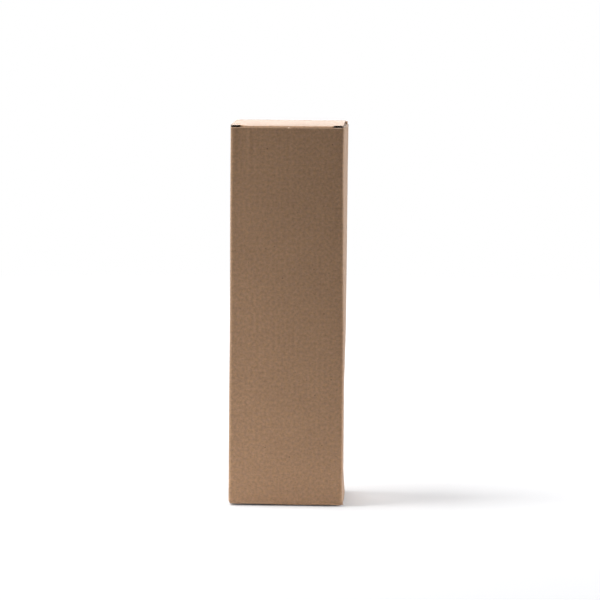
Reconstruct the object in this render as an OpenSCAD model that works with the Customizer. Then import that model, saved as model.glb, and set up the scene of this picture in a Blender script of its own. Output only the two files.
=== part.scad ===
// Slim tuck end carton of fluted kraft board, closed and standing upright.
// X runs across the front, Y from the front to the back, Z up, all in millimetres.
// The origin is the middle of the foot. The top lid folds on the back wall and tucks
// in behind the front wall. The bottom lid is the same closure turned half over.

/* [Carton] */
// Outside width across the front
carton_w = 70; // [56:1:120]
// Outside depth from front to back
carton_d = 70; // [56:1:120]
// Outside height, closed
carton_h = 235; // [100:5:400]

/* [Board] */
// Thickness of the fluted board
board_t = 1.5; // [1.1:0.1:1.7]
// Outside radius of the folds
fold_r = 1.8; // [1.8:0.1:2.6]
// Radius of the bead that the inner liner makes inside a fold
bead_r = 0.8; // [0.4:0.1:0.9]

/* [Lids] */
// How much narrower a lid is than the carton
lid_narrow = 0.8; // [0.6:0.1:2]
// How far the lid sits off centre towards the left wall
lid_shift = 0.4; // [0:0.1:0.4]
// How much farther in the lid's right edge lies at the hinge than at the tuck fold
hinge_relief = 1; // [0:0.1:1.5]
// Angle that the tuck flap leans in past square, so that it swings clear of the wall
tuck_lean = 7.5; // [7:0.5:10]
// Length of the tuck flap below its fold
tuck_len = 14; // [8:0.5:15]
// Radius of the tuck flap's free corners
tuck_corner_r = 7; // [3:0.5:7.5]
// Play between each side of the tuck flap and the side walls
tuck_side_play = 1.4; // [1.3:0.1:3]
// Play between the tuck fold and the wall it tucks behind
tuck_play = 0.25; // [0.2:0.05:0.5]

/* [Slits] */
// Length of the slit at each end of the tuck fold
slit_len = 6; // [4:0.5:9]
// Height of the slit between the lid's corner tab and the tuck flap's shoulder
slit_h = 1.3; // [1:0.1:2]
// Radius of the tuck flap's shoulders
shoulder_r = 1.5; // [1:0.1:2]

/* [Crushed edges] */
// Thickness that is left where the lid lies on the side folds
crush_t = 0.95; // [0.7:0.05:1]
// Width of the slope into the crushed band
crush_slope = 0.9; // [0.5:0.1:2]
// Depth of the cut rim below the lid's face
rim_drop = 1.35; // [1.2:0.05:1.6]
// Height of the pressed lip along the cut rim
lip_h = 0.8; // [0.4:0.1:1.2]
// How far the pressed lip slopes in
lip_in = 0.4; // [0.2:0.1:0.6]

/* [Dust flaps] */
// Length of a dust flap from the side wall
dust_len = 28; // [12:1:28]
// Distance from the cut wall to the dust flap's near edge
dust_front = 2.6; // [2.5:0.1:5]
// Distance from the hinge wall to the dust flap's far edge
dust_back = 1.6; // [1.5:0.1:4]
// Length of the lock shoulder beside the fold
lock_len = 7; // [5:0.5:9]
// Step down from the lock shoulder
lock_step = 3; // [1:0.5:5]
// Taper of the dust flap's long edges over its length
dust_taper = 4; // [2:0.5:7]
// Radius of the dust flap's free corners
dust_corner_r = 5; // [2:0.5:6]
// Play between stacked layers of board
layer_play = 0.1; // [0.05:0.05:0.2]

/* [Glued seam] */
// Width of the glue tab inside the back wall
tab_w = 16; // [10:1:22]
// Taper at the ends of the glue tab
tab_taper = 5; // [2:0.5:8]
// Distance from each end of the wall to the glue tab
tab_end = 20; // [18:1:26]
// How far the back wall's cut edge stands in from the left face
seam_in = 0.5; // [0.3:0.1:0.8]

/* [Hidden] */
$fn = 48;
kraft = [0.69, 0.53, 0.39];
kraft_lid = [0.76, 0.6, 0.45];
kraft_foot = [0.63, 0.48, 0.35];

// Clearance cut at the mitre of each hinge crease
mitre_play = 0.06;
// How far the outer liner swells past the tuck flap's face where it is folded
fold_swell = 0.02;
// Turn that the tuck fold's round runs on into the flap
fold_lap = 10;
// How far the slits cut in under the ends of the tuck fold
slit_undercut = 0.1;
// Reach of a cutter past the face that it cuts
over = 2;

half_w = carton_w / 2;
half_d = carton_d / 2;
inner_w = half_w - board_t;
inner_d = half_d - board_t;
// Middle of the side folds' round, below the lid's crushed band
side_fold_x = half_w - fold_r;
side_fold_z = carton_h - crush_t - layer_play - fold_r;
// Middle of the hinge crease's round, on the back wall
hinge_y = half_d - fold_r;
hinge_z = carton_h - fold_r;
// Middle of the tuck fold's round, behind the front wall
tuck_y = -inner_d + tuck_play + fold_r;
// The lid's side edges and the tuck flap's
lid_left = -half_w;
lid_right = half_w - lid_narrow;
hinge_right = lid_right - hinge_relief;
lid_middle = -lid_shift;
tuck_half = inner_w - tuck_side_play;
// Depth of the shoulders' top below the middle of the tuck fold
shoulder_z = board_t + slit_h - fold_r;
// Levels of the dust flap under the lid
dust_top = carton_h - board_t - layer_play;
dust_z = dust_top - board_t;
dust_near = -inner_d + dust_front;
dust_far = inner_d - dust_back;

function unit(v) = v / norm(v);

// The sliver that rounding takes off the corner p between its neighbours a and b
module corner_sliver(a, p, b, r) {
    u = unit(a - p);
    v = unit(b - p);
    half = acos(u * v) / 2;
    middle = p + unit(u + v) * r / sin(half);
    difference() {
        polygon([p - unit(u + v), p + u * r / tan(half), middle, p + v * r / tan(half)]);
        translate(middle) circle(r);
    }
}

// An outline whose convex corners are rounded by true arcs, one radius for each point
module soft_outline(points, radii) {
    last = len(points);
    difference() {
        polygon(points);
        for (i = [0 : last - 1])
            if (radii[i] > 0)
                corner_sliver(points[(i + last - 1) % last], points[i], points[(i + 1) % last], radii[i]);
    }
}

// A slice of a disc from angle a0 to a1, under half a turn
module disc_slice(r, a0, a1) {
    far = 3 * r;
    intersection() {
        circle(r);
        polygon([
            [0, 0],
            far * [cos(a0), sin(a0)],
            far * [cos((a0 + a1) / 2), sin((a0 + a1) / 2)],
            far * [cos(a1), sin(a1)]
        ]);
    }
}

// Carries a profile drawn in Y and Z along X from x0 to x1
module along_x(x0, x1) {
    translate([x0, 0, 0]) rotate([90, 0, 90]) linear_extrude(x1 - x0) children();
}

// Carries a profile drawn in X and Z along Y from y0 to y1
module along_y(y0, y1) {
    translate([0, y1, 0]) rotate([90, 0, 0]) linear_extrude(y1 - y0) children();
}

// The foot end is the head end turned half over about X
module turned_over() {
    translate([0, 0, carton_h / 2]) rotate([180, 0, 0]) translate([0, 0, -carton_h / 2]) children();
}

module both_ends() {
    children();
    turned_over() children();
}

module both_sides() {
    children();
    mirror([1, 0, 0]) children();
}

// Plan of the four walls: three folded corners, and the glued seam at the back left
module wall_plan() {
    seam_y = half_d - board_t;
    difference() {
        union() {
            square([carton_w, carton_d - 2 * fold_r], center = true);
            square([carton_w - 2 * fold_r, carton_d], center = true);
            for (x = [-1, 1], y = [-1, 1])
                translate([x * (half_w - fold_r), y * (half_d - fold_r)]) circle(fold_r);
            translate([-half_w, half_d - fold_r]) square(fold_r);
        }
        difference() {
            square([2 * inner_w, 2 * inner_d], center = true);
            for (corner = [[-1, -1], [1, -1], [1, 1]])
                translate([corner[0] * inner_w, corner[1] * inner_d]) circle(bead_r);
        }
        translate([-half_w - over, seam_y]) square([over + seam_in, over + board_t]);
        intersection() {
            corner_sliver([-half_w, -half_d], [-half_w, seam_y], [half_w, seam_y], fold_r);
            translate([-half_w - over, -half_d]) square([carton_w, half_d + seam_y]);
        }
    }
}

// What the cut rim and the hinge crease take off the head of the walls
module wall_end_cuts() {
    // The cut rim, over the front wall and its two corners
    translate([-half_w - over, -half_d - over, carton_h - rim_drop])
        cube([carton_w + 2 * over, fold_r + over, rim_drop + over]);
    // The lip that the cutting rule pressed in along the rim
    along_x(-half_w - over, half_w + over)
        polygon([
            [-half_d, carton_h - rim_drop - lip_h],
            [-half_d + lip_in, carton_h - rim_drop],
            [-half_d + lip_in, carton_h - rim_drop + over],
            [-half_d - over, carton_h - rim_drop + over],
            [-half_d - over, carton_h - rim_drop - lip_h]
        ]);
    // The side walls, above the middle of their folds
    both_sides()
        translate([side_fold_x - over, -half_d + fold_r, side_fold_z])
            cube([fold_r + 2 * over, carton_d - 2 * fold_r, carton_h]);
    // The back wall, down to its half of the mitred crease
    along_x(-half_w - over, half_w + over)
        translate([hinge_y, hinge_z]) difference() {
            translate([-over, 0]) square(fold_r + 2 * over);
            disc_slice(fold_r, 0, 45 - mitre_angle());
        }
}

// Angle of the thin wedge that the mitre leaves open on each side of its middle plane
function mitre_angle() = asin(mitre_play / 2 / fold_r);

// Fold over the top of the right wall, and the dust flap that it carries
module dust_flap() {
    tip = inner_w - dust_len;
    lock_x = side_fold_x - lock_len;
    along_y(-half_d + fold_r, half_d - fold_r)
        translate([side_fold_x, side_fold_z]) disc_slice(fold_r, 0, 90);
    along_y(dust_near, dust_far) {
        translate([side_fold_x, side_fold_z]) disc_slice(fold_r, 60, 180);
        intersection() {
            translate([inner_w, dust_z]) circle(bead_r);
            translate([inner_w - fold_r, dust_z - fold_r]) square([fold_r + board_t / 2, 2 * fold_r]);
        }
    }
    translate([0, 0, dust_z]) linear_extrude(board_t)
        soft_outline([
            [side_fold_x + board_t / 2, dust_near],
            [lock_x, dust_near],
            [lock_x - lock_step / 2, dust_near + lock_step],
            [tip, dust_near + lock_step + dust_taper],
            [tip, dust_far - dust_taper],
            [side_fold_x + board_t / 2, dust_far]
        ], [0, 1, 0, dust_corner_r, dust_corner_r, 0]);
}

// The tab that closes the sleeve, glued flat inside the back wall
module glue_tab() {
    low = tab_end;
    high = carton_h - tab_end;
    root = -half_w + fold_r;
    tip = -inner_w + tab_w;
    along_y(inner_d - board_t, inner_d)
        soft_outline([
            [root, low],
            [tip, low + tab_taper],
            [tip, high - tab_taper],
            [root, high]
        ], [0, 2, 2, 0]);
    translate([-inner_w, inner_d - board_t, low]) cylinder(r = bead_r, h = high - low);
}

module carton_body() {
    color(kraft) {
        difference() {
            linear_extrude(carton_h) wall_plan();
            both_ends() wall_end_cuts();
        }
        both_ends() both_sides() dust_flap();
        glue_tab();
    }
}

// Flat outline of the tuck flap, hung from the middle of its fold, with its two shoulders
module tuck_outline() {
    root_left = lid_left + slit_len + slit_undercut;
    root_right = lid_right - slit_len - slit_undercut;
    left = lid_middle - tuck_half;
    right = lid_middle + tuck_half;
    soft_outline([
        [root_left, 0],
        [root_left, -shoulder_z],
        [left, -shoulder_z],
        [left, -tuck_len],
        [right, -tuck_len],
        [right, -shoulder_z],
        [root_right, -shoulder_z],
        [root_right, 0]
    ], [0, 0, shoulder_r, tuck_corner_r, tuck_corner_r, shoulder_r, 0, 0]);
}

// One lid: panel, its half of the hinge crease, tuck fold, tuck flap and corner tabs
module lid() {
    difference() {
        union() {
            translate([0, 0, carton_h - board_t]) linear_extrude(board_t)
                polygon([[lid_left, tuck_y], [lid_right, tuck_y], [hinge_right, hinge_y], [lid_left, hinge_y]]);
            along_x(lid_left, hinge_right)
                translate([hinge_y, hinge_z]) disc_slice(fold_r, 45 + mitre_angle(), 90);
            along_x(lid_left + slit_len, lid_right - slit_len)
                translate([tuck_y, hinge_z]) disc_slice(fold_r, 90, 180 + tuck_lean + fold_lap);
            for (x = [lid_left, lid_right - slit_len])
                translate([x, tuck_y - fold_r, carton_h - board_t]) cube([slit_len, fold_r, board_t]);
        }
        both_sides() along_y(-half_d - over, half_d + over)
            polygon([
                [half_w - 2 * fold_r - crush_slope, carton_h - board_t],
                [half_w - 2 * fold_r, carton_h - crush_t],
                [half_w + over, carton_h - crush_t],
                [half_w + over, carton_h - board_t - over],
                [half_w - 2 * fold_r - crush_slope, carton_h - board_t - over]
            ]);
    }
    translate([0, tuck_y, hinge_z]) rotate([tuck_lean, 0, 0])
        translate([0, board_t - fold_r + fold_swell, 0])
            rotate([90, 0, 0]) linear_extrude(board_t) tuck_outline();
}

module top_lid() {
    color(kraft_lid) lid();
}

module bottom_lid() {
    color(kraft_foot) turned_over() lid();
}

carton_body();
top_lid();
bottom_lid();
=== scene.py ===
"""Dresses the tuck end carton: fluted kraft board, folded from flat blanks.

Every sheet of board is drawn flat in blank coordinates, u across the flutes and v
along them, in millimetres, and then folded by one function. Depth runs from 0 on the
outer face to the board's thickness on the inner face. X runs across the front, Y from
the front to the back and Z up.
"""

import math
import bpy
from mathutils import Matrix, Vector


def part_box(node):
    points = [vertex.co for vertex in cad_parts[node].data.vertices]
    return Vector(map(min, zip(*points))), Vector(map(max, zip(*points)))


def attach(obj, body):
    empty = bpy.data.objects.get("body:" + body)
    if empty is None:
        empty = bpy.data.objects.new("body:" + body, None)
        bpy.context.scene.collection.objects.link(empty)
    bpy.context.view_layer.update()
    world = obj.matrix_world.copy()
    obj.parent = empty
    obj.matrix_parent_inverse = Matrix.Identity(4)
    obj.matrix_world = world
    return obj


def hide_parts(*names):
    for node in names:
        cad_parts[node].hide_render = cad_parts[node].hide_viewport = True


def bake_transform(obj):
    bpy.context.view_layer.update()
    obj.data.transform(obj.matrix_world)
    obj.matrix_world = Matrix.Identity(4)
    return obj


bl_info = {
    "name": "Tuck End Carton",
    "version": (1, 0, 0),
    "blender": (4, 5, 0),
    "location": "View3D > Sidebar > Carton",
    "description": "Builds a closed carton of fluted kraft board and its studio",
    "category": "Add Mesh",
}

import bpy
import numpy as np
from bpy.props import FloatProperty, FloatVectorProperty, PointerProperty
from mathutils import Matrix, Vector

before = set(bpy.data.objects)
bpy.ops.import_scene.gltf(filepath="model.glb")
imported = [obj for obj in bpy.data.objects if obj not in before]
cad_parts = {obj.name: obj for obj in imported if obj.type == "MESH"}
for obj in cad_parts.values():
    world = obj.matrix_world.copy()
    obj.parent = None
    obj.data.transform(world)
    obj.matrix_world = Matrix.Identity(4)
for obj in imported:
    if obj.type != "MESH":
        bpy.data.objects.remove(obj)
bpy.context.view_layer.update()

MM = 0.001
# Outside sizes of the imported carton, in millimetres
HALF_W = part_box("carton_body")[1].x / MM
HALF_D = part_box("carton_body")[1].y / MM
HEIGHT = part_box("top_lid")[1].z / MM
LID_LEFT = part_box("top_lid")[0].x / MM
LID_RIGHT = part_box("top_lid")[1].x / MM

# Points closer than this are one
NEAR = 1e-4
# The board and its folds, with the radius of the bead that the inner liner makes in a fold
BOARD = 1.5
MEDIUM = 0.16
GLUE_GAP = 0.01
FOLD = 1.8
FOLD_STEPS = 29
BEAD = 0.8
INNER = HALF_W - BOARD
FOLD_RUN = (FOLD - BOARD / 2) * math.pi / 2
# Where the rim is cut, and the lip pressed along it
RIM = HEIGHT - 1.35
LIP_HIGH = 0.25
LIP_IN = 0.3
LIP_PAST = 1.1
LIP_FADE = 0.4
# How thick the lid is left where it is pressed on the side folds, and where across it that sets in
CRUSHED = 1.3
CRUSH_FROM = 30.5
CRUSH_RUN = 0.9
LID_GAP = 0.1
# The side folds and the dust flaps; names that end in IN are measured in from the carton's side
SIDE_FOLD = HEIGHT - CRUSHED - LID_GAP - FOLD
DUST_NEAR = -30.9
DUST_FAR = 31.9
DUST_TOP = HEIGHT - BOARD - LID_GAP
DUST_CREST = SIDE_FOLD + FOLD_RUN
DUST_FLAT = DUST_CREST + 2.2
DUST_FLAT_IN = 4.0
DUST_LOCK_IN = 8.8
DUST_TIP_IN = 29.5
DUST_TIP = DUST_FLAT + DUST_TIP_IN - DUST_FLAT_IN
DUST_LOCK = DUST_FLAT + DUST_LOCK_IN - DUST_FLAT_IN
DUST_CORNER = 5.0
# The lock step of a dust flap, and how far its two sides draw in by the tip
LOCK_RUN = 1.5
LOCK_DEEP = 3.0
LOCK_SIDE = 7.0
FAR_SIDE = 4.0
# The inner liner's bead in a side roll: how far it swells in and down, and how much more in its middle
ROLL_IN = 1.1
ROLL_DOWN = 0.25
ROLL_SAG = 0.6
ROLL_END = DUST_FLAT - 1.0
# The hinge creases, and the tuck fold with its slits
CREASE = HALF_D - FOLD
CREASE_Z = HEIGHT - FOLD
CREASE_SPANS = ((0, 36), (39, 51), (54, 90))
CREASE_COLUMNS = 61
TUCK_GAP = 0.25
TUCK_FOLD = 1.2
TUCK_Y = -INNER + TUCK_GAP + TUCK_FOLD
TUCK_START = CREASE - TUCK_Y
TUCK_TURN = 97.5
TUCK_END = TUCK_START + (TUCK_FOLD - BOARD / 2) * math.radians(TUCK_TURN)
TUCK_SHOULDER = TUCK_END + 1.0
TUCK_TIP = TUCK_END + 14.0
TUCK_LEFT = -32.5
TUCK_RIGHT = 31.7
TUCK_ROUND = 7.0
SHOULDER_ROUND = 1.5
SLIT = 6.0
HINGE_RELIEF = 1.0
# The glued seam at the back left
SEAM_IN = 0.5
TAB_W = 15.7
TAB_END = 20.0
TAB_TAPER = 5.0
# The burr on the rim: place across the front, half width, reach down, rise and depth
NICK = 0.8
NICK_WIDE = 1.2
NICK_LOW = 0.7
NICK_UP = 0.2
NICK_IN = 0.8
# Wales that run down from the rim: place across the front, length, half width and depth; one with a depth
# below 0 stands out
WALES = (
    (-32.2, 60.0, 2.6, -0.17),
    (-23.4, 36.0, 1.8, -0.18),
    (1.2, 74.0, 1.7, 0.12),
)
# A rubbed line on one of them
SCUFF = -24.3
SCUFF_LONG = 30.0
SCUFF_WIDE = 1.0
# The rim's painted highlight, for the raised lip lit at its right end: where across the front it sets in, is
# at its most and ends, and its reach down
RIM_HIGHLIGHT = (18, 33, 34)
RIM_HIGHLIGHT_LOW = 0.5
# How worn each place is, where past 1 the fibres are torn, and how far that reaches; the rim's level is no
# wear but a painted highlight in the torn fibres' colour
FOLD_WEAR = 0.8
FOLD_WORN = (0.3, -0.6)
FOLD_WORN_FADE = 0.5
SCUFF_WEAR = 0.9
RIM_HIGHLIGHT_LEVEL = 1.9
NICK_WEAR = 2.5
ROLL_WORN = SIDE_FOLD + 0.8
ROLL_WORN_WIDE = 1.6
HINGE_WORN_WIDE = 1.2

# How the carton has gone out of square: heights, and the move or the share of it at each
LEAN = ([0, 15, 50, 68, 82, 105, 165, 200, 235], [-0.6, -0.93, -0.93, -0.97, -0.7, -0.35, -0.15, -0.07, 0.12])
FRONT_RIGHT = ([0, 30, 100, 160, 210, 232], [-0.1, 0.0, 0.2, -0.25, -0.55, -0.35])
LEFT_SIDE = ([0, 60, 120, 190, 235], [-0.45, -0.35, -0.12, -0.3, -0.25])
BELLY = ([0, 3, 9, 16], [1.4, 0.8, 0.45, 0.0])
BOW = ([3, 40, 190, 234], [0.0, 1.0, 1.0, 0.4])
# The bow of the front: its depth, its middle and how far it reaches to each side
BOW_DEEP = 0.8
BOW_MIDDLE = 1.0
BOW_HALF = 33.0
# The foot: height of the stretch that moves, and how far its corners go in and out and its front edge up
FOOT_BAND = 3.0
FOOT_TUCKED = 0.9
FOOT_FLARED = 1.8
FOOT_LIFTED = ([0, 0.6], [0.95, 0.6])
LIFTED_BACK = (0, 0.3)
# How far the lid's middle is drawn down behind the front, and where that sets in and fades
LID_DRAWN = 0.4
DRAWN_X = (26, 29)
DRAWN_Y = (-INNER + 0.1, -INNER + 0.2)
DRAWN_BACK = (0.02, 0.22)
DRAWN_Z = (HEIGHT - 5, HEIGHT - 1.4)
# The same for the right side's fold, which has sunk toward the back
RIGHT_SUNK = 0.7
SUNK_X = (32.4, 33.2)
SUNK_BACK = (0.1, 0.5)
SUNK_Z = (HEIGHT - 7, HEIGHT - 1.5)
SUNK_TOP = (RIM - 0.04, RIM)

# Steps of the points beside a fold, under the rim and along the lid's pressed edges
BESIDE_FOLD = 0.5
FOLD_STEP = 0.25
RIM_STEP = 0.2
PRESS_STEP = 0.3
# How far the two sides of a layer, and the layers, lie apart in the pattern of the pulp
SIDE_APART = 4.0
LAYERS_APART = 10.0
SHARP_FROM = math.radians(40)


# Flat drawing of the board


def stations(breaks, step, fine=None):
    """Every break, and even steps between them.

    A span that starts at a point of fine takes the smaller step that fine gives there."""
    out = [breaks[0]]
    for a, b in zip(breaks, breaks[1:]):
        small = (fine or {}).get(round(a, 4), step)
        count = max(1, math.ceil((b - a) / small - 1e-6))
        out.extend(a + (b - a) * np.arange(1, count + 1) / count)
    return np.array(out)


def folded(start, heading, steps, radius=FOLD):
    """Cross-section of a board that is folded step by step: the way along it and the lines of its two faces.

    A step is ("run", millimetres) or ("fold", degrees). The board turns left at a fold, and its outer face is
    on the right."""
    turn = math.radians(heading)
    place = np.array(start, float)
    along = 0.0
    ways, outer, inner = [], [], []

    def facing(angle):
        return np.array([math.cos(angle), math.sin(angle)]), np.array([math.sin(angle), -math.cos(angle)])

    def note(way, out_point, in_point):
        ways.append(way)
        outer.append(out_point)
        inner.append(in_point)

    way, out = facing(turn)
    note(0.0, place, place - out * BOARD)
    for kind, size in steps:
        way, out = facing(turn)
        if kind == "run":
            place = place + way * size
            along += size
            continue
        angle = math.radians(size)
        length = (radius - BOARD / 2) * angle
        middle = place - out * radius
        way_on, out_on = facing(turn + angle)
        knee = middle + (out + out_on) * (radius - BOARD) / (1 + out @ out_on)
        reach = BEAD - (knee - middle) @ way
        back = math.atan2(-way[1], -way[0])
        for part in np.linspace(0, 1, FOLD_STEPS):
            at = -reach + part * (length + 2 * reach)
            if at < 0:
                out_point = place + way * at
            elif at > length:
                out_point = middle + out_on * radius + way_on * (at - length)
            else:
                out_point = middle + facing(turn + angle * at / length)[1] * radius
            swing = back - part * (math.pi - angle)
            in_point = knee + BEAD * np.array([math.cos(swing), math.sin(swing)])
            note(along + at, out_point, in_point)
        turn += angle
        place = middle + out_on * radius
        along += length
    way, out = facing(turn)
    note(along, place, place - out * BOARD)
    return np.array(ways), np.array(outer), np.array(inner)


def locate(section, along, depth):
    """Points of a cross-section, at some way along the board and depth into it."""
    ways, outer, inner = section
    faces = [np.stack([np.interp(along, ways, face[:, k]) for k in (0, 1)], -1) for face in (outer, inner)]
    return faces[0] + (faces[1] - faces[0]) * (depth / BOARD)[..., None]


def patch(us, vs, keep=None, leaf=0, leaf_from=None):
    """A piece of the flat blank: corner points, the leaf they lie on and the cells that are kept.

    us may be one row for every v, or a row of its own for each. Points past leaf_from lie on that leaf, so a
    slit parts them from their neighbours."""
    vs = np.asarray(vs, float)
    us = np.asarray(us, float)
    if us.ndim == 1:
        us = np.broadcast_to(us, (len(vs), len(us)))
    if vs[0] > vs[-1]:
        us, vs = us[::-1], vs[::-1]
    vv = np.broadcast_to(vs[:, None], us.shape)
    leaves = np.zeros(us.shape)
    if leaf:
        leaves[np.abs(vv - leaf_from) > NEAR] = leaf
    kept = np.ones((us.shape[0] - 1, us.shape[1] - 1), bool) if keep is None else keep
    return us, vv, leaves, kept


def cells(grid):
    """The four corners of each cell in a grid of point numbers."""
    return np.stack([grid[:-1, :-1], grid[:-1, 1:], grid[1:, 1:], grid[1:, :-1]], -1)


def weld(patches):
    """Joins patches where their points and leaves agree."""
    corners, quads, first = [], [], 0
    for us, vs, leaves, kept in patches:
        corners.append(np.stack([us, vs, leaves], -1).reshape(-1, 3))
        index = first + np.arange(us.size).reshape(us.shape)
        quads.append(cells(index)[kept])
        first += us.size
    corners = np.concatenate(corners)
    quads = np.concatenate(quads)
    _, chosen, where = np.unique(np.round(corners, 3), axis=0, return_index=True, return_inverse=True)
    quads = where.reshape(-1)[quads]
    used, quads = np.unique(quads, return_inverse=True)
    return corners[chosen[used]], quads.reshape(-1, 4)


def eased(value, knots, levels):
    """The levels at the knots, joined by smooth steps."""
    at = np.interp(value, knots, np.arange(len(knots)))
    low = np.minimum(np.floor(at).astype(int), len(knots) - 2)
    part = at - low
    levels = np.asarray(levels, float)
    return levels[low] + (levels[low + 1] - levels[low]) * part * part * (3 - 2 * part)


def rise(value, low, high):
    """0 up to low and 1 from high, with a smooth step between."""
    return eased(value, [low, high], [0, 1])


def fall(value, low, high):
    """1 up to low and 0 from high, with a smooth step between."""
    return eased(value, [low, high], [1, 0])


def fade(way, reach):
    """1 at no way at all, falling straight to 0 at reach."""
    return np.clip(1 - way / reach, 0, 1)


def settle(points):
    """Moves the carton out of square.

    Its back leans, its faces bow, its foot spreads, its front edge stands off the table and its head sags."""
    x, y, z = points.T
    back = (y + HALF_D) / (2 * HALF_D)
    right = (x + HALF_W) / (2 * HALF_W)
    lean = bpy.context.scene.carton_sizes.lean / MM * eased(z, *LEAN)
    belly = eased(z, *BELLY) * np.clip(1 - (y / HALF_D) ** 2, 0, 1)
    sides = (eased(z, *FRONT_RIGHT) * (1 - back) + belly) * right + eased(z, *LEFT_SIDE) * (1 - right)
    foot = fall(z, 0, FOOT_BAND)
    tucked = FOOT_TUCKED * fall(x, -HALF_W, -HALF_W + FOOT_BAND)
    flared = FOOT_FLARED * rise(x, HALF_W - FOOT_BAND, HALF_W) * np.clip(1 - back, 0, 1) ** 1.4
    moved = points.copy()
    moved[:, 0] = x + lean * back + sides + foot * (tucked + flared)
    ridge = 1 - np.clip(np.abs(x - BOW_MIDDLE) / BOW_HALF, 0, 1) ** 2
    moved[:, 1] = y - BOW_DEEP * ridge * eased(z, *BOW) * np.clip(1 - back * 8, 0, 1)
    lifted = foot * eased(right, *FOOT_LIFTED) * fall(back, *LIFTED_BACK)
    drawn = rise(z, *DRAWN_Z) * rise(y, *DRAWN_Y) * fall(back, *DRAWN_BACK) * fall(np.abs(x), *DRAWN_X)
    sunk = rise(z, *SUNK_Z) * fall(z, *SUNK_TOP) * rise(x, *SUNK_X) * rise(back, *SUNK_BACK)
    moved[:, 2] = z + lifted - LID_DRAWN * drawn - RIGHT_SUNK * sunk
    return moved


def bake_layout(corners, quads, edges, height):
    """Flat layout of a sheet's two faces and its cut edges, side by side, one point for each face corner."""
    flat = corners[:, :2]
    low = flat.min(0)
    wide = (flat.max(0) - low)[0]
    margin, gap = 1.5, 0.4
    front = flat[quads] - low
    back = flat[quads[:, ::-1]] - low + [wide + margin, 0]
    lengths = np.linalg.norm(flat[edges[:, 1]] - flat[edges[:, 0]], axis=1)
    ends = np.cumsum(lengths)
    row_long = 2 * wide
    row = np.floor((ends - lengths) / row_long)
    left = (ends - lengths) - row * row_long
    base = -(row + 1) * (height + gap) - margin
    cut_corners = ((lengths, height), (0, height), (0, 0), (lengths, 0))
    strip = np.stack([np.stack([left + along, base + up], -1) for along, up in cut_corners], 1)
    spots = np.concatenate([front.reshape(-1, 2), back.reshape(-1, 2), strip.reshape(-1, 2)])
    spots -= spots.min(0)
    return spots / spots.max()


def board_layer(name, patches, place, upper, lower, finish, layer, marks=None):
    """One closed sheet of the board, such as a liner, between the depths upper and lower."""
    corners, quads = weld(patches)
    u, v, leaf = corners.T
    count = len(corners)
    depths = upper(u, v), lower(u, v)
    points = np.concatenate([place(u, v, leaf, depth) for depth in depths])
    points = settle(points)
    starts = quads.reshape(-1)
    stops = np.roll(quads, -1, axis=1).reshape(-1)
    border = ~np.isin(starts * count + stops, stops * count + starts)
    a, b = starts[border], stops[border]
    faces = np.concatenate([quads, quads[:, ::-1] + count, np.stack([b, a, a + count, b + count], -1)])
    spots = bake_layout(corners, quads, np.stack([a, b], -1), float(np.mean(depths[1] - depths[0])))
    if inside_out(points, faces):
        faces = faces[:, ::-1]
        spots = spots.reshape(-1, 4, 2)[:, ::-1].reshape(-1, 2)
    side = np.repeat([0.0, SIDE_APART], count) + LAYERS_APART * layer
    blank = np.stack([np.tile(u, 2), np.tile(v, 2), side], -1)
    wear = np.zeros(2 * count) if marks is None else np.tile(marks(u, v, leaf), 2)
    raw = np.repeat([0.0, 1.0], [2 * len(quads), len(a)])
    return solid(name, points, faces, finish, blank, wear, raw, spots)


def inside_out(points, faces):
    """Whether the faces of a closed mesh turn their fronts inward."""
    p = points[faces]
    fans = np.cross(p[:, 1], p[:, 2]) + np.cross(p[:, 2], p[:, 3])
    return np.einsum("ij,ij->i", p[:, 0], fans).sum() < 0


def solid(name, points, faces, finish, blank, wear, raw, spots=None):
    """A mesh object, smooth but for its sharp edges.

    It carries its blank coordinates, how worn its points are and which of its faces are cut edges."""
    mesh = bpy.data.meshes.new(name)
    mesh.from_pydata((points * MM).tolist(), [], faces.tolist())
    mesh.update()
    for key, kind, domain, field, values in (
        ("blank", "FLOAT_VECTOR", "POINT", "vector", blank),
        ("wear", "FLOAT", "POINT", "value", wear),
        ("raw", "FLOAT", "FACE", "value", raw),
    ):
        data = mesh.attributes.new(key, kind, domain).data
        data.foreach_set(field, values.astype(np.float32).ravel())
    if spots is not None:
        mesh.uv_layers.new(name="OFBake").data.foreach_set("uv", spots.astype(np.float32).ravel())
    mesh.polygons.foreach_set("use_smooth", [True] * len(mesh.polygons))
    mesh.set_sharp_from_angle(angle=SHARP_FROM)
    mesh.materials.append(finish)
    if mesh.validate():
        raise RuntimeError(f"{name} came out with broken faces")
    piece = bpy.data.objects.new(name, mesh)
    bpy.context.collection.objects.link(piece)
    return piece


def bump_between(value, low, high, slope):
    """1 between low and high, falling to 0 over slope on each side."""
    return np.clip(np.minimum(value - low, high - value) / slope + 1, 0, 1)


# The sleeve of four walls


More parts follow.
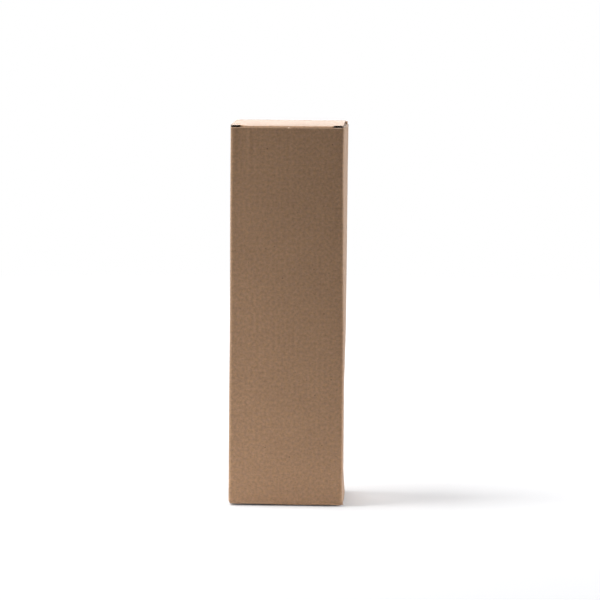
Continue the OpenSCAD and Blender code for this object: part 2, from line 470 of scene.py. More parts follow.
class Sleeve:
    """Folded plan of the walls, its lines in the blank and the way from the blank to the carton."""

    def __init__(self):
        left_wall, wall, back_wall = CREASE + INNER - FOLD, 2 * CREASE, CREASE + HALF_W - SEAM_IN
        steps = [("run", TAB_W)]
        for run in (left_wall, wall, wall, back_wall):
            steps += [("fold", 90), ("run", run)]
        self.plan = folded((-HALF_W + FOLD + TAB_W, INNER), 180, steps)
        at = [TAB_W]
        for run in (left_wall, wall, wall):
            at += [at[-1] + FOLD_RUN, at[-1] + FOLD_RUN + run]
        self.folds = [(a, a + FOLD_RUN) for a in at[::2]]
        self.end = self.folds[3][1] + back_wall
        self.left = (self.folds[0][1], self.folds[1][0])
        self.front = (self.folds[1][1], self.folds[2][0])
        self.right = (self.folds[2][1], self.folds[3][0])

    def wall_y(self, u):
        """Y on the side walls."""
        return np.where(u < self.front[0], INNER - FOLD - (u - self.left[0]), -CREASE + (u - self.right[0]))

    def wall_u(self, y, right):
        return self.right[0] + y + CREASE if right else self.left[0] + INNER - FOLD - y

    def front_x(self, u):
        """X on the front wall."""
        return u - self.front[0] - CREASE

    def nick(self, u, v):
        """The burr that the cutting rule left in the middle of the rim."""
        return fade(np.abs(self.front_x(u) - NICK), NICK_WIDE) * fade(RIM - v, NICK_LOW)

    def side_section(self, v, depth):
        """How far in and how high a point of a side wall and its dust flap lies."""
        ways = np.concatenate([[0, SIDE_FOLD], SIDE_FOLD + np.linspace(0.08, 1, 14) * FOLD_RUN])
        turn = np.clip((ways - SIDE_FOLD) / FOLD_RUN, 0, 1) * math.pi / 2
        outer_in = FOLD - FOLD * np.cos(turn)
        outer_up = np.where(ways < SIDE_FOLD, ways, SIDE_FOLD + FOLD * np.sin(turn))
        drop = np.linspace(0.1, 1, 10)
        above = (FOLD + SIDE_FOLD - DUST_TOP) * (1 - drop * drop * (3 - 2 * drop))
        ways = np.concatenate([ways, DUST_CREST + drop * (DUST_FLAT - DUST_CREST), [DUST_TIP]])
        outer_in = np.concatenate([outer_in, FOLD + drop * (DUST_FLAT_IN - FOLD), [DUST_TIP_IN]])
        outer_up = np.concatenate([outer_up, DUST_TOP + above, [DUST_TOP]])
        bead = np.clip((ways - SIDE_FOLD) / (ROLL_END - SIDE_FOLD), 0, 1)
        swell = np.minimum(ways, SIDE_FOLD) - ROLL_DOWN * bead - ROLL_SAG * np.sin(math.pi * bead)
        inner_in = np.where(bead < 1, BOARD + ROLL_IN * bead, outer_in)
        inner_up = np.where(bead < 1, swell, DUST_TOP - BOARD)
        share = depth / BOARD
        pairs = (outer_in, inner_in), (outer_up, inner_up)
        return [np.interp(v, ways, a) * (1 - share) + np.interp(v, ways, b) * share for a, b in pairs]

    def place(self, u, v, leaf, depth):
        taper = fade(u, TAB_W) * TAB_TAPER
        height = v + taper * (1 - 2 * np.clip((v - TAB_END) / (HEIGHT - 2 * TAB_END), 0, 1)) * (leaf == 0)
        height = height + NICK_UP * self.nick(u, v)
        xy = locate(self.plan, u, depth)
        flap = leaf > 0
        foot = leaf > 2
        inward, upward = self.side_section(np.where(foot, HEIGHT - v, v), depth)
        sign = np.where(u < self.front[0], 1.0, -1.0)
        x = xy[:, 0] + np.where(flap, sign * (inward - depth), 0)
        z = np.where(flap, np.where(foot, HEIGHT - upward, upward), height)
        return np.stack([x, xy[:, 1], z], -1)

    def patches(self, step, rows):
        """The walls on one grid, and the four rolls and dust flaps that go on from the side walls."""
        limits = sorted([DUST_NEAR, -DUST_FAR, -DUST_NEAR, DUST_FAR])
        breaks = [0.0, self.end]
        fine = {}
        for a, b in self.folds:
            breaks += [a - BESIDE_FOLD, a, b, b + BESIDE_FOLD]
            fine.update({round(k, 4): FOLD_STEP for k in (a - BESIDE_FOLD, a, b)})
        sides = (False, self.left), (True, self.right)
        for right, (low, high) in sides:
            breaks += [w for w in (self.wall_u(y, right) for y in limits) if low + 0.01 < w < high - 0.01]
        us = stations(sorted(breaks), step, fine)
        near_rim = [HEIGHT - RIM, HEIGHT - RIM + LIP_HIGH, HEIGHT - RIM + NICK_LOW]
        levels = near_rim + [FOLD, HEIGHT - SIDE_FOLD, TAB_END, TAB_END + TAB_TAPER]
        levels += [HEIGHT - k for k in levels]
        fine_rows = {round(k, 4): RIM_STEP for k in (HEIGHT - RIM, RIM - LIP_HIGH, RIM - NICK_LOW)}
        vs = stations(sorted(levels), rows, fine_rows)
        uc = (us[1:] + us[:-1]) / 2
        vc = (vs[1:] + vs[:-1]) / 2
        seam, fold_left, fold_right, fold_back = self.folds
        span = [
            (0, seam[0], TAB_END, HEIGHT - TAB_END),
            (seam[0], seam[1], HEIGHT - RIM, CREASE_Z),
            (*self.left, HEIGHT - SIDE_FOLD, SIDE_FOLD),
            (fold_left[0], fold_right[1], FOLD, RIM),
            (*self.right, HEIGHT - SIDE_FOLD, SIDE_FOLD),
            (fold_back[0], self.end, HEIGHT - RIM, CREASE_Z),
        ]
        keep = np.zeros((len(vc), len(uc)), bool)
        for a, b, low, high in span:
            keep |= ((uc > a) & (uc < b))[None, :] & ((vc > low) & (vc < high))[:, None]
        out = [patch(us, vs, keep)]
        for right, (low, high) in sides:
            wall = us[(us > low - NEAR) & (us < high + NEAR)]
            for foot in (False, True):
                out += self.flap(wall, right, foot, rows)
        return out

    def flap(self, wall, right, foot, rows):
        """The roll over a side wall's end, and the dust flap with its lock step, taper and round corners."""
        leaf = 1 + right + 2 * foot
        turn = (lambda v: HEIGHT - v) if foot else (lambda v: v)
        roll = np.linspace(SIDE_FOLD, DUST_CREST, 8)
        ys = self.wall_y(wall)
        near_side, far_side = (-DUST_NEAR, -DUST_FAR) if foot else (DUST_NEAR, DUST_FAR)
        if not right:
            far_side = min(far_side, ys.max())
        low, high = sorted((near_side, far_side))
        cols = ys[(ys > low - NEAR) & (ys < high + NEAR)]
        corner_from = DUST_TIP - DUST_CORNER
        vs = np.concatenate(
            [
                np.linspace(DUST_CREST, DUST_FLAT, 6),
                stations([DUST_FLAT, DUST_LOCK, DUST_LOCK + LOCK_RUN, corner_from], rows)[1:],
                corner_from + np.sin(np.linspace(0, math.pi / 2, 9))[1:] * DUST_CORNER,
            ]
        )
        toward = 1.0 if near_side < far_side else -1.0
        past = np.clip(vs - corner_from, 0, DUST_CORNER)
        corner = DUST_CORNER - np.sqrt(np.maximum(DUST_CORNER**2 - past**2, 0))
        lock = np.interp(vs, [DUST_LOCK, DUST_LOCK + LOCK_RUN, DUST_TIP], [0, LOCK_DEEP, LOCK_SIDE]) + corner
        taper = np.interp(vs, [DUST_CREST, DUST_TIP], [0, FAR_SIDE]) + corner
        near = near_side + toward * lock
        far = far_side - toward * taper
        share = (cols - near_side) / (far_side - near_side)
        y = near[:, None] + share[None, :] * (far - near)[:, None]
        return [
            patch(wall, turn(roll), leaf=leaf, leaf_from=turn(SIDE_FOLD)),
            patch(self.wall_u(y, right), turn(vs), leaf=leaf, leaf_from=turn(SIDE_FOLD)),
        ]

    def pressed(self, u, v):
        """How far the outer face is pressed in along the two cut rims, at the burr and down the wales."""
        ahead = bump_between(u, self.front[0] - LIP_PAST, self.front[1] + LIP_PAST, LIP_FADE)
        behind = bump_between(u, self.folds[3][1] - LIP_PAST, self.end, LIP_FADE)
        lip = fade(RIM - v, LIP_HIGH) * ahead + fade(v - (HEIGHT - RIM), LIP_HIGH) * behind
        dip = LIP_IN * lip + NICK_IN * self.nick(u, v)
        for middle, length, wide, deep in WALES:
            across = fall(np.abs(self.front_x(u) - middle), 0, wide)
            dip = dip + deep * across * fade(RIM - v, length)
        return dip

    def worn(self, u, v, leaf):
        """Wear along the folds and the rolls, on the rubbed line and the burr, and a painted highlight along
        the rim's right end.
        """
        out = np.zeros(len(u))
        for a, b in self.folds[1:]:
            rubbed = bump_between(u, a + FOLD_WORN[0], b + FOLD_WORN[1], FOLD_WORN_FADE)
            out = np.maximum(out, FOLD_WEAR * rubbed)
        rubbed = fade(np.abs(self.front_x(u) - SCUFF), SCUFF_WIDE) * fade(RIM - v, SCUFF_LONG)
        out = np.maximum(out, SCUFF_WEAR * rubbed)
        # Painted highlight: the raised lip at the rim's right end, lit from above, drawn past a wear of 1 in
        # the torn fibres' colour
        rim_highlight = eased(self.front_x(u), RIM_HIGHLIGHT, [0, 1, 0]) * fade(RIM - v, RIM_HIGHLIGHT_LOW)
        for torn_and_highlight in (RIM_HIGHLIGHT_LEVEL * rim_highlight, NICK_WEAR * self.nick(u, v)):
            out = np.maximum(out, torn_and_highlight * (leaf == 0))
        side = leaf > 0
        for start, end in (self.left, self.right):
            side |= (u > start) & (u < end)
        top = np.minimum(np.abs(v - ROLL_WORN), np.abs(HEIGHT - v - ROLL_WORN))
        return np.maximum(out, np.where(side, np.clip(ROLL_WORN_WIDE - top, 0, 1), 0))


# The lid


def turned_over(points):
    """Half a turn about the line from side to side through the carton's middle, which takes head to foot."""
    return points * [1, -1, -1] + [0, 0, HEIGHT]


class Lid:
    """A lid's flat blank and its fold, for the head; the foot's lid is the same turned half over."""

    def __init__(self, foot=False):
        self.foot = foot
        steps = [("run", TUCK_START), ("fold", TUCK_TURN), ("run", TUCK_TIP - TUCK_END)]
        self.section = folded((CREASE, HEIGHT), 180, steps, TUCK_FOLD)

    def place(self, u, v, leaf, depth):
        yz = locate(self.section, v, depth)
        tab = leaf > 0
        y = np.where(tab, CREASE - v, yz[:, 0])
        z = np.where(tab, HEIGHT - depth, yz[:, 1])
        points = np.stack([u, y, z], -1)
        return turned_over(points) if self.foot else points

    def patches(self, step, rows):
        slits = LID_LEFT + SLIT, LID_RIGHT - SLIT
        press = CRUSH_FROM - 0.1, CRUSH_FROM + CRUSH_RUN
        fine = {round(k, 4): PRESS_STEP for k in (LID_LEFT, press[0])}
        us = stations([LID_LEFT, -press[1], -press[0], *slits, *press, LID_RIGHT], step, fine)
        middle = us[(us > slits[0] - NEAR) & (us < slits[1] + NEAR)]
        panel = stations([0, 0.5, TUCK_START - 0.6, TUCK_START], rows)
        relief = HINGE_RELIEF * (1 - panel / TUCK_START)
        out = [patch(us - relief[:, None] * np.clip((us - slits[1]) / SLIT, 0, 1), panel)]
        tab_rows = np.linspace(TUCK_START, TUCK_START + TUCK_FOLD, 4)
        for leaf, cols in ((1, us[us < slits[0] + NEAR]), (2, us[us > slits[1] - NEAR])):
            out.append(patch(cols, tab_rows, leaf=leaf, leaf_from=TUCK_START))
        out.append(patch(middle, np.concatenate([np.linspace(TUCK_START, TUCK_END, 12), [TUCK_SHOULDER]])))
        arc = np.linspace(0, math.pi / 2, 8)
        shoulder_end = TUCK_SHOULDER + SHOULDER_ROUND
        tip_from = TUCK_TIP - TUCK_ROUND
        vs = np.concatenate(
            [
                TUCK_SHOULDER + SHOULDER_ROUND * (1 - np.cos(arc)),
                stations([shoulder_end, tip_from], rows)[1:],
                tip_from + TUCK_ROUND * np.sin(arc)[1:],
            ]
        )
        early = np.clip(SHOULDER_ROUND - (vs - TUCK_SHOULDER), 0, SHOULDER_ROUND)
        late = np.clip(vs - tip_from, 0, TUCK_ROUND)
        shoulder = SHOULDER_ROUND - np.sqrt(SHOULDER_ROUND**2 - early**2)
        tip = TUCK_ROUND - np.sqrt(np.maximum(TUCK_ROUND**2 - late**2, 0))
        left, right = TUCK_LEFT + shoulder, TUCK_RIGHT - shoulder
        ears = np.linspace(0, 1, 7)
        rows_u = []
        for start, end, pull in zip(left, right, tip):
            before = start + (slits[0] - start) * ears[:-1]
            after = slits[1] + (end - slits[1]) * ears[1:]
            flat = np.concatenate([before, middle, after])
            half, centre = (end - start) / 2, (end + start) / 2
            rows_u.append(centre + (flat - centre) * (half - pull) / half)
        out.append(patch(np.array(rows_u), vs))
        return out

    def crushed(self, u, v):
        """Depth of the inner face, which is pressed up where the lid lies on the side folds."""
        edge = np.clip((np.abs(u) - CRUSH_FROM) / CRUSH_RUN, 0, 1)
        return BOARD - (BOARD - CRUSHED) * np.where(v < TUCK_START + TUCK_FOLD + 0.1, edge, 0)

    def worn(self, u, v, leaf):
        """Wear along the tuck fold and the hinge."""
        tuck = np.where(leaf > 0, 0, bump_between(v, TUCK_START, TUCK_END, 1.0))
        return np.maximum(tuck, fade(v, HINGE_WORN_WIDE))


# Layers of the fluted board


def three_layers(prefix, part, body, node, low=None, high=None):
    """Outer liner, fluted medium and inner liner of one blank. The outer liner replaces the CAD node."""
    finishes = carton_finishes()
    sizes = bpy.context.scene.carton_sizes
    pitch = sizes.flute_pitch / MM
    liner = sizes.liner / MM
    washboard = sizes.washboard / MM
    half = BOARD / 2
    swing = half - liner - MEDIUM / 2 - GLUE_GAP
    low = low or (lambda u, v: np.zeros(len(u)))
    high = high or (lambda u, v: np.full(len(u), BOARD))

    def wave(u):
        return np.cos(2 * math.pi * u / pitch)

    def squeezed(depth):
        """A depth in the plain board, brought between the faces that low and high give."""

        def give(u, v):
            a, b = low(u, v), high(u, v)
            return a + depth(u) * (b - a) / BOARD

        return give

    def flat(depth):
        return squeezed(lambda u: np.full(len(u), depth))

    def flute(sign):
        """One face of the fluted medium, half its thickness off the wave."""

        def depth(u):
            slope = swing * 2 * math.pi / pitch * np.sin(2 * math.pi * u / pitch)
            return half - swing * wave(u) + sign * MEDIUM / 2 * np.sqrt(1 + slope**2)

        return squeezed(depth)

    dipped = squeezed(lambda u: washboard * (1 - wave(u)) / 2)
    columns, rows = ((6, 6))
    # Each layer's name, columns to a flute, length of a row, two faces, finish and wear
    layers = (
        ("outer_liner", columns, rows, dipped, flat(liner), "outer", part.worn),
        ("fluted_medium", 12, 12, flute(-1), flute(1), "medium", None),
        ("inner_liner", 2, 12, flat(BOARD - liner), flat(BOARD), "inner", part.worn),
    )
    for number, (word, columns, rows, upper, lower, finish, marks) in enumerate(layers):
        patches = part.patches(pitch / columns, rows)
        name = f"{prefix}_{word}"
        piece = board_layer(name, patches, part.place, upper, lower, finishes[finish], number, marks)
        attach(piece, body)
    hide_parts(node)


def crease(name, foot=False):
    """The rolled fold between the hinge wall and a lid."""
    turns = np.radians(np.concatenate([np.linspace(*span, 7) for span in CREASE_SPANS]))
    outer = np.stack([CREASE + FOLD * np.cos(turns), CREASE_Z + FOLD * np.sin(turns)], -1)
    swing = -math.pi / 2 - np.linspace(0, math.pi / 2, len(turns))
    inner = np.stack([INNER + BEAD * np.cos(swing), HEIGHT - BOARD + BEAD * np.sin(swing)], -1)
    inner[0] = INNER, CREASE_Z
    inner[-1] = CREASE, HEIGHT - BOARD
    corner = CREASE + FOLD * np.sin(turns)
    left = -corner if foot else -HALF_W + SEAM_IN * np.linspace(1, 0, len(turns))
    right = np.where(turns < math.pi / 4, corner, LID_RIGHT - HINGE_RELIEF)
    columns = np.linspace(0, 1, CREASE_COLUMNS)
    rings = np.zeros((len(turns), 2, len(columns), 3))
    rings[..., 0] = (left[:, None] + (right - left)[:, None] * columns)[:, None]
    rings[..., 1:] = np.stack([outer, inner], 1)[:, :, None]
    points = rings.reshape(-1, 3)
    if foot:
        points = turned_over(points)
    points = settle(points)
    index = np.arange(len(points)).reshape(rings.shape[:3])
    out, inn = index[:, 0], index[:, 1]
    walls = (
        (out, 1),
        (inn, -1),
        (np.stack([inn[0], out[0]]), 1),
        (np.stack([out[-1], inn[-1]]), 1),
        (np.stack([out[:, 0], inn[:, 0]]), -1),
        (np.stack([inn[:, -1], out[:, -1]]), -1),
    )
    faces = np.concatenate([cells(grid).reshape(-1, 4)[:, ::order] for grid, order in walls])
    if inside_out(points, faces):
        faces = faces[:, ::-1]
    way = HEIGHT + np.repeat(turns * FOLD, 2)[:, None] + np.zeros(len(columns))
    blank = np.stack([points[:, 0], way.ravel(), np.zeros(len(points))], -1)
    wear = np.repeat(np.interp(np.degrees(turns), [0, 20, 70, 90], [0.4, 1, 1, 0.4]), 2 * len(columns))
    piece = solid(name, points, faces, carton_finishes()["outer"], blank, wear, np.zeros(len(faces)))
    middle = FOLD * math.sqrt(0.5)
    reach = np.array([0, 0.15, -0.15])
    pivot = np.array([0, CREASE + middle, CREASE_Z + middle])
    ends = [pivot + reach, pivot - reach]
    if foot:
        ends = [turned_over(end) for end in ends]
    ends[0] * MM
    ends[1] * MM
    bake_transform(piece)


# Finishes


class Wire:
    """One shader socket. Sums and products of wires and numbers add their Math nodes."""

    def __init__(self, nodes, socket):
        self.nodes, self.socket = nodes, socket

    def _math(self, operation, *values):
        return self.nodes.add("ShaderNodeMath", {"operation": operation}, dict(enumerate(values)))

    def __add__(self, other):
        return self._math("ADD", self, other)

    def __sub__(self, other):
        return self._math("SUBTRACT", self, other)

    def __rsub__(self, other):
        return self._math("SUBTRACT", other, self)

    def __mul__(self, other):
        return self._math("MULTIPLY", self, other)

    __radd__ = __add__
    __rmul__ = __mul__

    def away(self):
        """Size without its sign."""
        return self._math("ABSOLUTE", self)

    def ramp(self, low, high, to_low=0.0, to_high=1.0):
        """Smooth step from low to high."""
        return self.nodes.add(
            "ShaderNodeMapRange",
            {"interpolation_type": "SMOOTHSTEP"},
            {"Value": self, "From Min": low, "From Max": high, "To Min": to_low, "To Max": to_high},
        )


class Nodes:
    """The node tree of a material or of the room."""

    def __init__(self, owner, output="ShaderNodeOutputMaterial"):
        self.owner, self.output = owner, output
        owner.use_nodes = True
        self.tree = owner.node_tree
        self.tree.nodes.clear()

    def add(self, kind, settings=None, sockets=None, out=0):
        """The output of a new node: its settings are made first, then the values or links of its sockets."""
        node = self.tree.nodes.new(kind)
        for key, value in (settings or {}).items():
            setattr(node, key, value)
        for key, value in (sockets or {}).items():
            socket = self.find(node.inputs, key)
            if isinstance(value, Wire):
                self.tree.links.new(value.socket, socket)
            else:
                socket.default_value = value
        return Wire(self, self.find(node.outputs, out)) if len(node.outputs) else None

    @staticmethod
    def find(sockets, key):
        if isinstance(key, int):
            return sockets[key]
        return next(s for s in sockets if s.identifier == key or (s.name == key and s.enabled))

    def noise(self, vector, scale, detail=2.0, roughness=0.5, distortion=0.0):
        sockets = {"Vector": vector, "Scale": scale, "Detail": detail, "Roughness": roughness}
        return self.add("ShaderNodeTexNoise", {}, {**sockets, "Distortion": distortion}, out="Fac")

    def mix(self, share, a, b, kind="MIX"):
        return self.add(
            "ShaderNodeMix",
            {"data_type": "RGBA", "blend_type": kind},
            {"Factor_Float": share, "A_Color": a, "B_Color": b},
            out="Result_Color",
        )

    def vector(self, operation, *values):
        return self.add("ShaderNodeVectorMath", {"operation": operation}, dict(enumerate(values)))

    def grey(self, value):
        """The colour whose three parts are all value."""
        return self.add("ShaderNodeCombineColor", {}, {0: value, 1: value, 2: value})

    def finish(self, shader):
        self.add(self.output, {}, {"Surface": shader})
        return self.owner


# Colour of paper fibres that were torn and not cut; it also paints the highlight on the rim's right end
TORN_AND_HIGHLIGHT = (1.0, 0.84, 0.7)


def tone(colour, factor=1.0):
    return (*[c * factor for c in colour[:3]], 1.0)


# Directions of the fibres, in degrees, and where the pattern of each set starts
FIBRES = ((12, 3.0), (71, 9.0), (128, 17.0))
FIBRE_SHAPE = (0.28, 2.2, 1.0)
FLECK_SIZE = 0.095
# How strongly each part of the pattern shows in the board's tone
CLOUD_SHOWS = 0.16
PULP_SHOWS = 1.0
GRAIN_SHOWS = 0.44
FIBRE_SHOWS = 0.08


def crossed_fibres(n, blank):
    """1 on short thin fibres that lie in three directions, in patches."""
    strands = []
    for angle, seed in FIBRES:
        sockets = {"Vector": blank, "Location": (seed, seed * 1.7, 0), "Scale": FIBRE_SHAPE}
        turned = n.add("ShaderNodeMapping", {}, {**sockets, "Rotation": (0, 0, math.radians(angle))})
        line = n.noise(turned, 1.0, detail=1.0, roughness=0.4, distortion=0.5)
        strand = (line - 0.5).away().ramp(0.0, 0.02, to_low=1.0, to_high=0.0)
        moved = n.vector("ADD", blank, (seed * 5, seed * 3, 0))
        strands.append(strand * n.noise(moved, 0.4, detail=1.0).ramp(0.52, 0.6))
    return strands[0] + strands[1] + strands[2]


def dark_flecks(n, blank):
    """1 inside the dark flecks, which a few cells of the pattern have."""
    cell = {"voronoi_dimensions": "3D", "feature": "F1"}
    spots = {"Vector": blank, "Scale": 0.2, "Randomness": 1.0}
    near = n.add("ShaderNodeTexVoronoi", cell, spots, out="Distance")
    chance = n.add("ShaderNodeTexVoronoi", cell, spots, out="Color")
    chance = n.add("ShaderNodeSeparateColor", {}, {0: chance})
    return (chance * FLECK_SIZE - near).ramp(0.0, 0.03)


def flute_wave(n, blank):
    """The wave of the flutes under the liner, from -1 to 1."""
    pitch = bpy.context.scene.carton_sizes.flute_pitch / MM
    turn = n.add("ShaderNodeSeparateXYZ", {}, {0: blank}) * (2 * math.pi / pitch)
    return n.add("ShaderNodeMath", {"operation": "COSINE"}, {0: turn})


def kraft(name, colour, fleck, shade=1.0, flute_shade=0.011, rough=0.62):
    """Kraft board: cloudy pulp, crossing fibres, dark flecks, places that are worn or torn, a painted
    highlight on the rim and painted shade on the cut edges.
    """
    n = Nodes(bpy.data.materials.new(name))
    blank, worn, shaded_cut = (
        n.add("ShaderNodeAttribute", {"attribute_name": key}, out=out)
        for key, out in (("blank", "Vector"), ("wear", "Fac"), ("raw", "Fac"))
    )
    cloud = n.noise(blank, 0.035, detail=3.0, roughness=0.6)
    pulp = n.noise(blank, 0.6, detail=4.0, roughness=0.62)
    grain = n.noise(blank, 2.4)
    fibres = crossed_fibres(n, blank)
    # The flute wave darkens and lightens the tone: painted shade of the washboard, and the lines where the
    # medium is glued
    level = (
        shade
        + (cloud - 0.5) * CLOUD_SHOWS
        + (pulp - 0.5) * PULP_SHOWS
        + (grain - 0.5) * GRAIN_SHOWS
        + fibres * FIBRE_SHOWS
        + flute_wave(n, blank) * flute_shade
    )
    tint = n.noise(n.vector("ADD", blank, (31.0, 57.0, 0.0)), 0.45, detail=3.0, roughness=0.6)
    warm = n.mix((tint - 0.3) * 2.5, tone((0.99, 1.0, 1.07)), tone((1.01, 1.0, 0.93)))
    board = n.mix(1.0, tone(colour), n.grey(level), "MULTIPLY")
    board = n.mix(1.0, board, warm, "MULTIPLY")
    # The wear attribute also carries the rim's painted highlight, which these lighter tones show
    scuffed_and_highlight = worn * (pulp - 0.1).ramp(0.0, 0.6, to_low=0.25)
    board = n.mix(scuffed_and_highlight * 0.35, board, tone(colour, 1.22))
    board = n.mix(dark_flecks(n, blank) * 0.7, board, tone(fleck))
    # Past a wear of 1 the torn fibres' colour: torn fibres at the burr, a painted highlight along the rim's
    # right end
    board = n.mix((worn - 1.0).ramp(0.0, 1.0, to_high=0.85), board, tone(TORN_AND_HIGHLIGHT))
    # Painted shade: the cut edges are darkened toward a fifth of the board's colour, for the shade in their
    # flute hollows and in the gaps beside them
    board = n.mix(shaded_cut * 0.9, board, tone(colour, 0.2))
    relief = pulp * 0.5 + grain * 0.35 + fibres * 0.35
    bump = n.add("ShaderNodeBump", {}, {"Strength": 0.35, "Distance": 0.00006, "Height": relief})
    sheen = {"Sheen Weight": 0.45, "Sheen Roughness": 0.5, "Sheen Tint": (1.0, 0.96, 0.92, 1.0)}
    surface = {"Base Color": board, "Roughness": rough + (pulp - 0.5) * 0.16, "Normal": bump}
    shader = n.add("ShaderNodeBsdfPrincipled", {}, {**surface, **sheen, "Specular IOR Level": 0.3})
    return n.finish(shader)


def carton_finishes():
    """Finishes of the board, made once and shared by the pieces."""
    tones = bpy.context.scene.carton_tones
    if "kraft_outer" not in bpy.data.materials:
        kraft("kraft_outer", tones.liner, tones.fleck)
        kraft("kraft_inner", tones.liner, tones.fleck, shade=0.96, flute_shade=0.008)
        kraft("kraft_medium", tones.medium, tones.fleck, flute_shade=0.0, rough=0.92)
    return {key: bpy.data.materials[f"kraft_{key}"] for key in ("outer", "medium", "inner")}


# Sizes and colours that a user would change


class CartonSizes(bpy.types.PropertyGroup):
    flute_pitch: FloatProperty(
        name="Flute pitch", description="Distance from one flute to the next", default=0.00325, unit="LENGTH"
    )
    liner: FloatProperty(
        name="Liner", description="Thickness of the flat sheets of the board", default=0.0002, unit="LENGTH"
    )
    washboard: FloatProperty(
        name="Washboard", description="Depth of the outer liner's dips", default=0.00002, unit="LENGTH"
    )
    lean: FloatProperty(
        name="Lean", description="The most that the carton leans out of square", default=0.0015, unit="LENGTH"
    )


class CartonTones(bpy.types.PropertyGroup):
    liner: FloatVectorProperty(
        name="Liner", description="Colour of the kraft liners", default=(0.55, 0.329, 0.192), subtype="COLOR"
    )
    medium: FloatVectorProperty(
        name="Medium", description="Colour of the fluted medium", default=(0.4, 0.25, 0.155), subtype="COLOR"
    )
    fleck: FloatVectorProperty(
        name="Fleck", description="Colour of the dark flecks", default=(0.1, 0.055, 0.03), subtype="COLOR"
    )


class StudioSettings(bpy.types.PropertyGroup):
    key: FloatProperty(
        name="Key light", description="Share of a surface's own colour that the top light shows", default=0.97
    )
    backdrop: FloatProperty(name="Backdrop", description="The same for the lit backdrop", default=0.8)
    side: FloatProperty(name="Side light", description="The same for the light from the right", default=0.8)
    card: FloatProperty(name="Left card", description="The same for the card on the left", default=0.115)
    low_card: FloatProperty(name="Low card", description="The same for the card near the foot", default=0.027)
    sky: FloatProperty(name="Fill", description="Brightness of the room around the table", default=0.02)
    table_reach: FloatProperty(
        name="Table reach", description="Radius of the bright table top", default=0.17, unit="LENGTH"
    )


# Operators


class CARTON_OT_sleeve(bpy.types.Operator):
    """Build the four walls, the dust flaps and the glued seam"""

    bl_idname = "carton.sleeve"
    bl_label = "Carton sleeve"

    def execute(self, context):
        part = Sleeve()
        three_layers("sleeve", part, "carton", "carton_body", low=part.pressed)
        return {"FINISHED"}


class CARTON_OT_top_lid(bpy.types.Operator):
    """Build the top lid with its tuck flap and its crease"""

    bl_idname = "carton.top_lid"
    bl_label = "Top lid"

    def execute(self, context):
        part = Lid()
        three_layers("top", part, "top_lid", "top_lid", high=part.crushed)
        crease("top_crease")
        return {"FINISHED"}


class CARTON_OT_bottom_lid(bpy.types.Operator):
    """Build the bottom lid with its tuck flap and its crease"""

    bl_idname = "carton.bottom_lid"
    bl_label = "Bottom lid"

    def execute(self, context):
        part = Lid(foot=True)
        three_layers("foot", part, "bottom_lid", "bottom_lid", high=part.crushed)
        crease("foot_crease", foot=True)
        return {"FINISHED"}


class CARTON_OT_studio(bpy.types.Operator):
    """Set up the camera, the white table, the lamps and the room"""

    bl_idname = "carton.studio"
    bl_label = "Studio"

    def execute(self, context):
        make_camera()
        make_table()
        make_room()
        for name, place, size, setting in LAMPS:
            lamp(name, place, size, getattr(context.scene.carton_studio, setting))
        context.scene.view_settings.view_transform = "Standard"
        return {"FINISHED"}


# Each lamp's name, place, size and the studio setting that holds its level
LAMPS = (
    ("key_light", (-0.58, -0.09, 1.36), (0.6, 0.6), "key"),
    ("backdrop_light", (-0.5, 1.6, 0.45), (1.3, 0.9), "backdrop"),
    ("side_light", (1.3, 0.35, 0.28), (0.7, 0.7), "side"),
    ("left_card", (-0.28, -0.23, 0.14), (0.14, 0.14), "card"),
    ("low_card", (-0.20, -0.18, 0.03), (0.06, 0.06), "low_card"),
)
LAMP_AIM = (0, 0, 0.1)
# The camera's yaw, pitch and roll in degrees, its place in metres and its lens in millimetres
CAMERA_TURN = (2.281, -5.426, 0.375)
CAMERA_PLACE = (0.1057, -2.4858, 0.3608)
CAMERA_LENS = 240.66
# The rings of the table top in metres, from its middle out
TABLE_RINGS = (0.1, 0.2, 0.3, 0.45, 0.7, 1.2, 2.5, 6.0, 12.0)
TABLE_SPOKES = 96
TABLE_DROP = 0.0001
# Tones of the table: what lights the carton near it and far off, and what the camera sees of the lamps' light
TABLE_NEAR = 0.85
TABLE_FAR = 0.18
TABLE_SEEN = 0.58
# The glow that lifts the seen table to white, its tint, and how near a thing has to be to dim it
TABLE_LIFT = 0.495
LIFT_TINT = (0.98, 0.99, 1.02)
LIFT_REACH = 0.02
# Where the seen table goes over into plain white
WHITE_FROM = 0.5
WHITE_AT = 1.6


def make_camera():
    """The photograph's view: a long lens from a little above and to the right."""
    yaw, pitch, roll = (math.radians(angle) for angle in CAMERA_TURN)
    turn = Matrix.Rotation(yaw, 4, "Z") @ Matrix.Rotation(math.pi / 2 + pitch, 4, "X")
    turn = turn @ Matrix.Rotation(roll, 4, "Z")
    lens = bpy.data.cameras.new("camera")
    lens.sensor_width = 36.0
    lens.lens = CAMERA_LENS
    lens.clip_start = 0.05
    lens.clip_end = 100.0
    camera = bpy.data.objects.new("camera", lens)
    bpy.context.collection.objects.link(camera)
    camera.matrix_world = Matrix.Translation(CAMERA_PLACE) @ turn
    bpy.context.scene.camera = camera


def lamp(name, place, size, level):
    """A soft light aimed at the carton, so strong that a surface facing it shows level of its own colour."""
    light = bpy.data.lights.new(name, "AREA")
    light.shape = "RECTANGLE"
    light.size, light.size_y = size
    away = Vector(place) - Vector(LAMP_AIM)
    light.energy = level * math.pi**2 * away.length_squared
    piece = bpy.data.objects.new(name, light)
    piece.location = place
    piece.rotation_euler = away.to_track_quat("Z", "Y").to_euler()
    bpy.context.collection.objects.link(piece)


def seen_directly(n):
    """1 for what the camera sees, also in reflections and through clear things."""
    rays = [f"Is {kind} Ray" for kind in ("Camera", "Glossy", "Transmission")]
    camera, glossy, clear = (n.add("ShaderNodeLightPath", out=ray) for ray in rays)
    return camera + glossy + clear


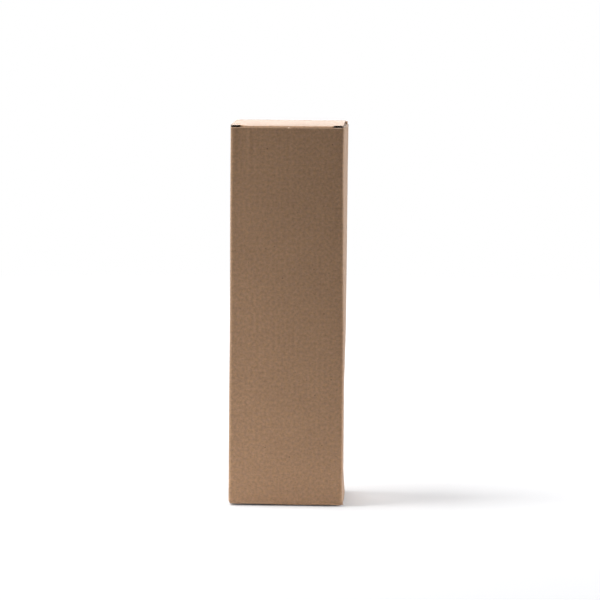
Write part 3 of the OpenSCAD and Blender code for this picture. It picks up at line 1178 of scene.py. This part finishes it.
def white_table():
    """White less the shadow for the camera, and for the carton a painted pool of light: a plain disc that
    darkens outward.
    """
    reach = bpy.context.scene.carton_studio.table_reach
    n = Nodes(bpy.data.materials.new("white_table"))
    at = n.add("ShaderNodeTexCoord", out="Object")
    far = n.add("ShaderNodeVectorMath", {"operation": "LENGTH"}, {0: at}, out="Value")
    near = far.ramp(reach, 2 * reach, to_low=1.0, to_high=0.0)
    disc = n.mix(near, tone((TABLE_FAR,) * 3), tone((TABLE_NEAR,) * 3))
    bounce = n.add("ShaderNodeBsdfDiffuse", {}, {"Color": disc})
    # Painted contact shadow: ambient occlusion dims the glow near the carton
    open_sky = n.add("ShaderNodeAmbientOcclusion", {"samples": 12}, {"Distance": LIFT_REACH}, out="AO")
    lift = n.grey(open_sky.ramp(0.0, 0.03) * (0.4 + open_sky * 0.6))
    lift = n.mix(1.0, lift, tone(LIFT_TINT), "MULTIPLY")
    glow = n.add("ShaderNodeEmission", {}, {"Color": lift, "Strength": TABLE_LIFT})
    lit = n.add("ShaderNodeBsdfDiffuse", {}, {"Color": tone((TABLE_SEEN,) * 3)})
    seen = n.add("ShaderNodeAddShader", {}, {0: lit, 1: glow})
    white = n.add("ShaderNodeEmission", {}, {"Color": tone((1.0,) * 3), "Strength": 1.0})
    seen = n.add("ShaderNodeMixShader", {}, {0: far.ramp(WHITE_FROM, WHITE_AT), 1: seen, 2: white})
    return n.finish(n.add("ShaderNodeMixShader", {}, {0: seen_directly(n), 1: bounce, 2: seen}))


def make_table():
    """Round white table top, as rings of faces about its middle."""
    points, faces = [(0.0, 0.0, 0.0)], []
    for radius in TABLE_RINGS:
        for k in range(TABLE_SPOKES):
            turn = 2 * math.pi * k / TABLE_SPOKES
            points.append((radius * math.cos(turn), radius * math.sin(turn), 0.0))
    for k in range(TABLE_SPOKES):
        on = (k + 1) % TABLE_SPOKES
        faces.append((0, 1 + k, 1 + on))
        for a in range(1, 1 + (len(TABLE_RINGS) - 1) * TABLE_SPOKES, TABLE_SPOKES):
            b = a + TABLE_SPOKES
            faces.append((a + k, b + k, b + on, a + on))
    mesh = bpy.data.meshes.new("table_top")
    mesh.from_pydata(points, [], faces)
    mesh.materials.append(white_table())
    table = bpy.data.objects.new("table_top", mesh)
    table.location.z = -TABLE_DROP
    bpy.context.collection.objects.link(table)


def make_room():
    """White where it is seen, also in reflections, and a dim even fill otherwise."""
    n = Nodes(bpy.data.worlds.new("room"), "ShaderNodeOutputWorld")
    fill = bpy.context.scene.carton_studio.sky
    level = n.add("ShaderNodeMapRange", {}, {"Value": seen_directly(n), "To Min": fill, "To Max": 1.0})
    sky = n.add("ShaderNodeBackground", {}, {"Color": tone((1.0,) * 3), "Strength": level})
    bpy.context.scene.world = n.finish(sky)


class CARTON_PT_panel(bpy.types.Panel):
    """Lists the carton's sizes, tones and pieces"""

    bl_idname = "CARTON_PT_panel"
    bl_label = "Tuck End Carton"
    bl_space_type = "VIEW_3D"
    bl_region_type = "UI"
    bl_category = "Carton"

    def draw(self, context):
        for group in (context.scene.carton_sizes, context.scene.carton_tones, context.scene.carton_studio):
            box = self.layout.box()
            for name in group.bl_rna.properties.keys():
                if name not in ("rna_type", "name"):
                    box.prop(group, name)
        for operator in OPERATORS:
            self.layout.operator(operator.bl_idname)


OPERATORS = (CARTON_OT_studio, CARTON_OT_sleeve, CARTON_OT_top_lid, CARTON_OT_bottom_lid)
CLASSES = (CartonSizes, CartonTones, StudioSettings, *OPERATORS, CARTON_PT_panel)
GROUPS = {"carton_sizes": CartonSizes, "carton_tones": CartonTones, "carton_studio": StudioSettings}


def register():
    for cls in CLASSES:
        bpy.utils.register_class(cls)
    for name, group in GROUPS.items():
        setattr(bpy.types.Scene, name, PointerProperty(type=group))


def unregister():
    for name in GROUPS:
        delattr(bpy.types.Scene, name)
    for cls in reversed(CLASSES):
        bpy.utils.unregister_class(cls)


def main():
    register()
    bpy.ops.carton.studio()
    bpy.ops.carton.sleeve()
    bpy.ops.carton.top_lid()
    bpy.ops.carton.bottom_lid()


if __name__ == "__main__":
    main()
